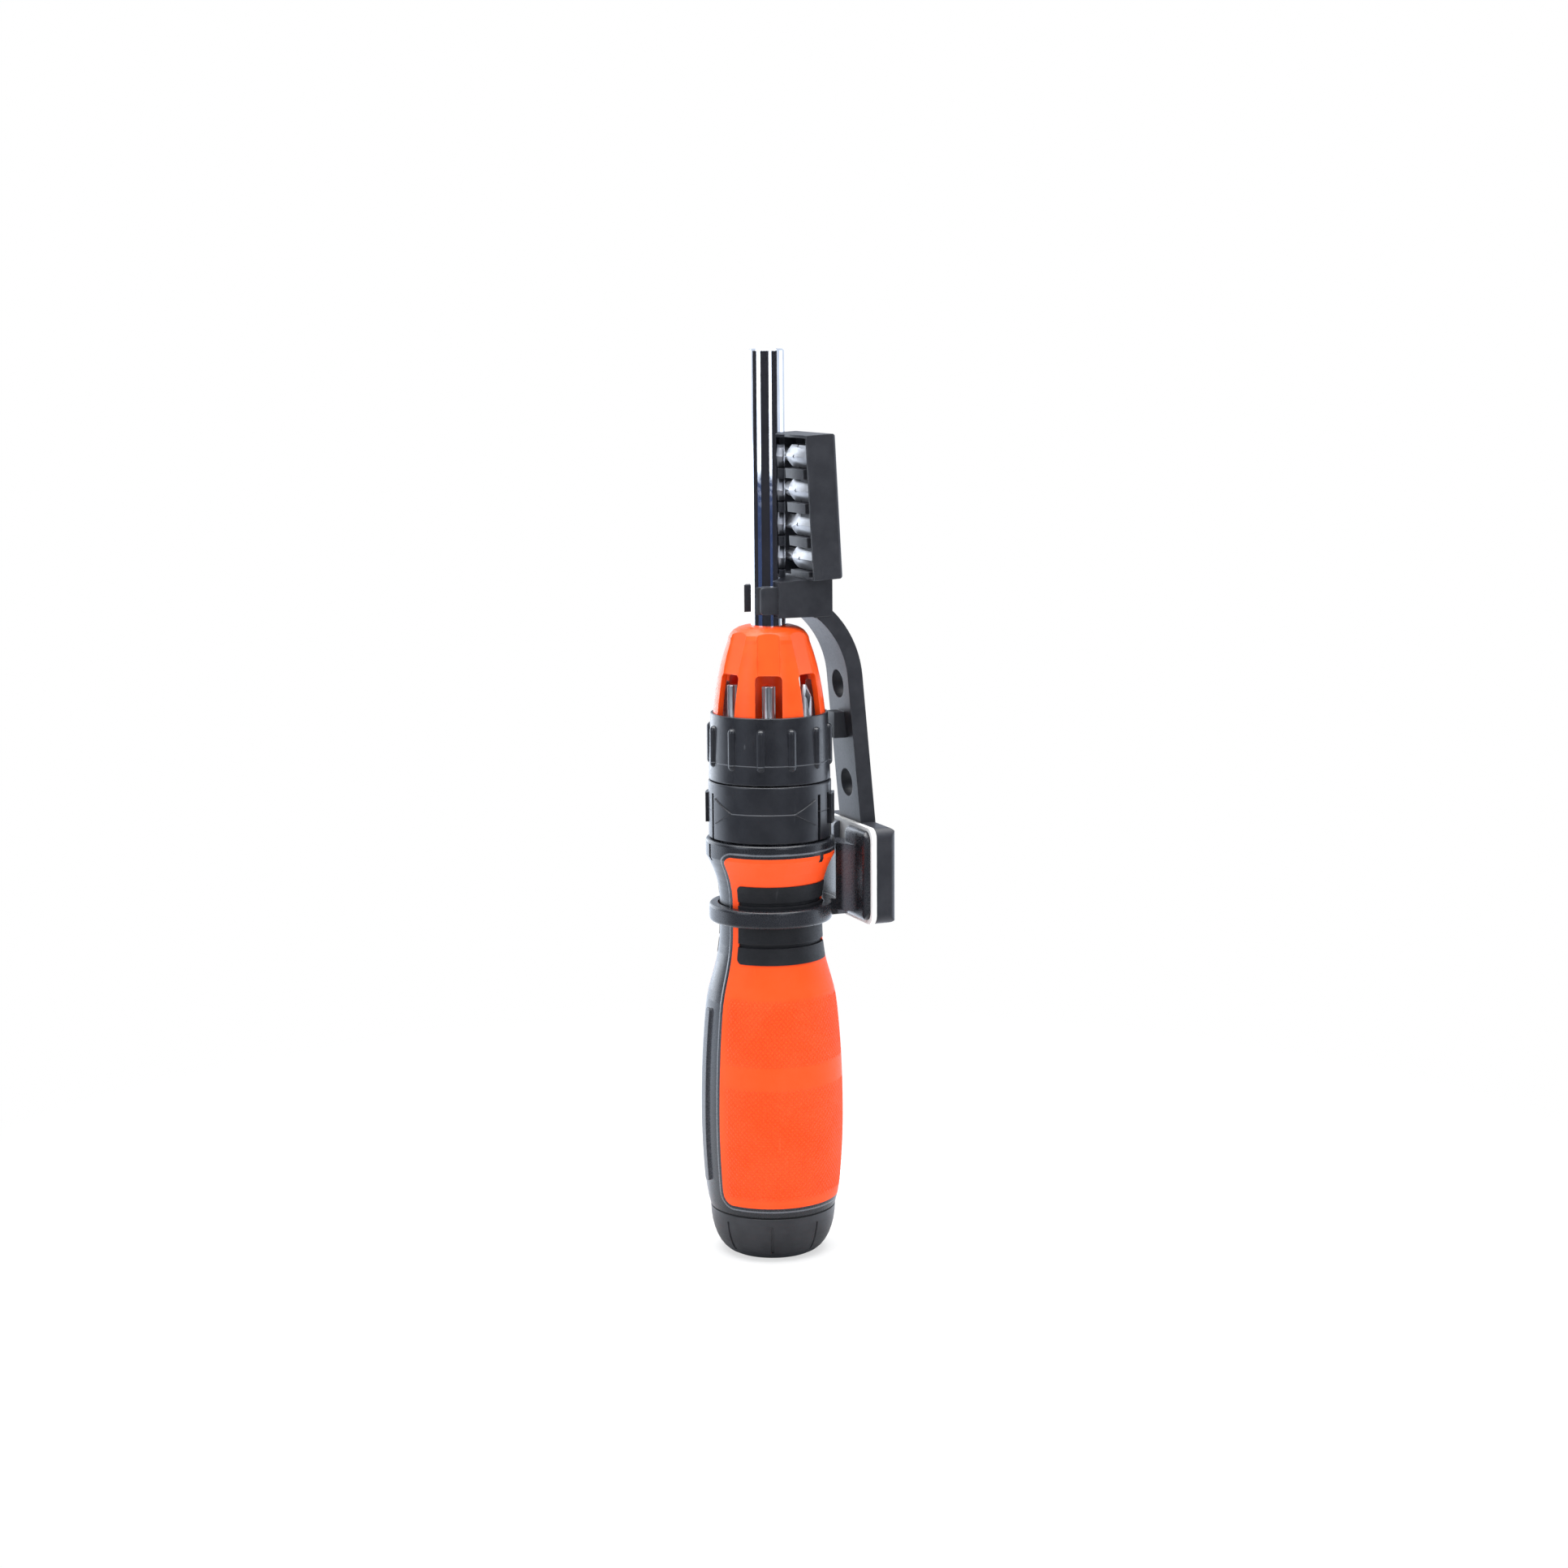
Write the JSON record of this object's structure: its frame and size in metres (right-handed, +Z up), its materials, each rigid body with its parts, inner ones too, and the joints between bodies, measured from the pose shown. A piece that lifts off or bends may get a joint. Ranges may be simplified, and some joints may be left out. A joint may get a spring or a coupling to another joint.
{
  "type": "ratcheting screwdriver",
  "caption": "Ratcheting screwdriver with soft grips, a selector ring, a bit magazine under a sliding nose cone, and a clip-on carrier holding spare bits along its shaft.",
  "frame": {"origin": "centre of the end cap's flat base, on the shaft's axis", "axes": "+Z up along the shaft to its bit socket, +X from the axis to the carrier's spine, the two grips face -Y and +Y"},
  "size_m": [0.0528, 0.0412, 0.2607],
  "materials": {
    "black_plastic": "charcoal moulded plastic, satin",
    "black_grip": "soft black grip",
    "orange_grip": "soft orange grip with fine diamond knurl",
    "orange_plastic": "orange moulded plastic, satin",
    "carrier_plastic": "black moulded plastic, fine grain",
    "strap_plastic": "smooth black moulded plastic",
    "chrome": "mirror chrome plate",
    "steel": "hardened steel",
    "bit_steel": "matt grey tool steel",
    "bronze": "sintered bronze",
    "magnet": "nickel-plated magnet",
    "card": "white card, blank"
  },
  "bodies": {
    "handle": {"handle_core": "black_plastic", "front_grip": "orange_grip", "rear_grip": "orange_grip", "front_neck_pad": "black_grip", "rear_neck_pad": "black_grip", "end_cap": "black_plastic", "ratchet_housing": "black_plastic", "ratchet_cover": "steel", "lower_bush": "bronze", "upper_bush": "bronze", "thrust_washer": "bronze", "pawl_pins": "steel", "pawl_springs": "steel", "detent_ball": "steel", "detent_spring": "steel"},
    "output": {"shaft": "chrome", "ratchet_gear": "steel", "shaft_clip_ring": "steel", "bit_magnet": "magnet", "bit_magazine": "black_plastic", "magazine_bits": "bit_steel"},
    "nose": {"nose_cone": "orange_plastic"},
    "selector": {"selector_ring": "black_plastic"},
    "forward": {"forward_pawl": "steel"},
    "reverse": {"reverse_pawl": "steel"},
    "carrier": {"carrier_spine": "carrier_plastic", "bit_rack": "carrier_plastic", "rack_bits": "bit_steel", "label_card": "card", "neck_strap": "strap_plastic"}
  },
  "joints": [
    {"name": "shaft_spin", "type": "hinge", "parent": "handle", "child": "output", "pos_m": [0, 0, 0.13], "axis": [0, 0, 1], "continuous": true},
    {"name": "cone_slide", "type": "slide", "parent": "output", "child": "nose", "axis": [0, 0, 1], "range_m": [0, 0.002]},
    {"name": "selector_turn", "type": "hinge", "parent": "handle", "child": "selector", "pos_m": [0, 0, 0.1308], "axis": [0, 0, 1], "range_deg": [-20, 20]},
    {"name": "forward_pawl_swing", "type": "hinge", "parent": "handle", "child": "forward", "pos_m": [-0.0068, 0.00903, 0.1285], "axis": [0, 0, -1], "range_deg": [0, 11], "stiffness_Nm_per_rad": 0.02, "springref_deg": -17.19},
    {"name": "reverse_pawl_swing", "type": "hinge", "parent": "handle", "child": "reverse", "pos_m": [-0.0068, -0.00903, 0.1285], "axis": [0, 0, 1], "range_deg": [0, 11], "stiffness_Nm_per_rad": 0.02, "springref_deg": -17.19},
    {"name": "carrier_swivel", "type": "hinge", "parent": "handle", "child": "carrier", "pos_m": [0, 0, 0.19], "axis": [0, 0, 1], "continuous": true}
  ]
}
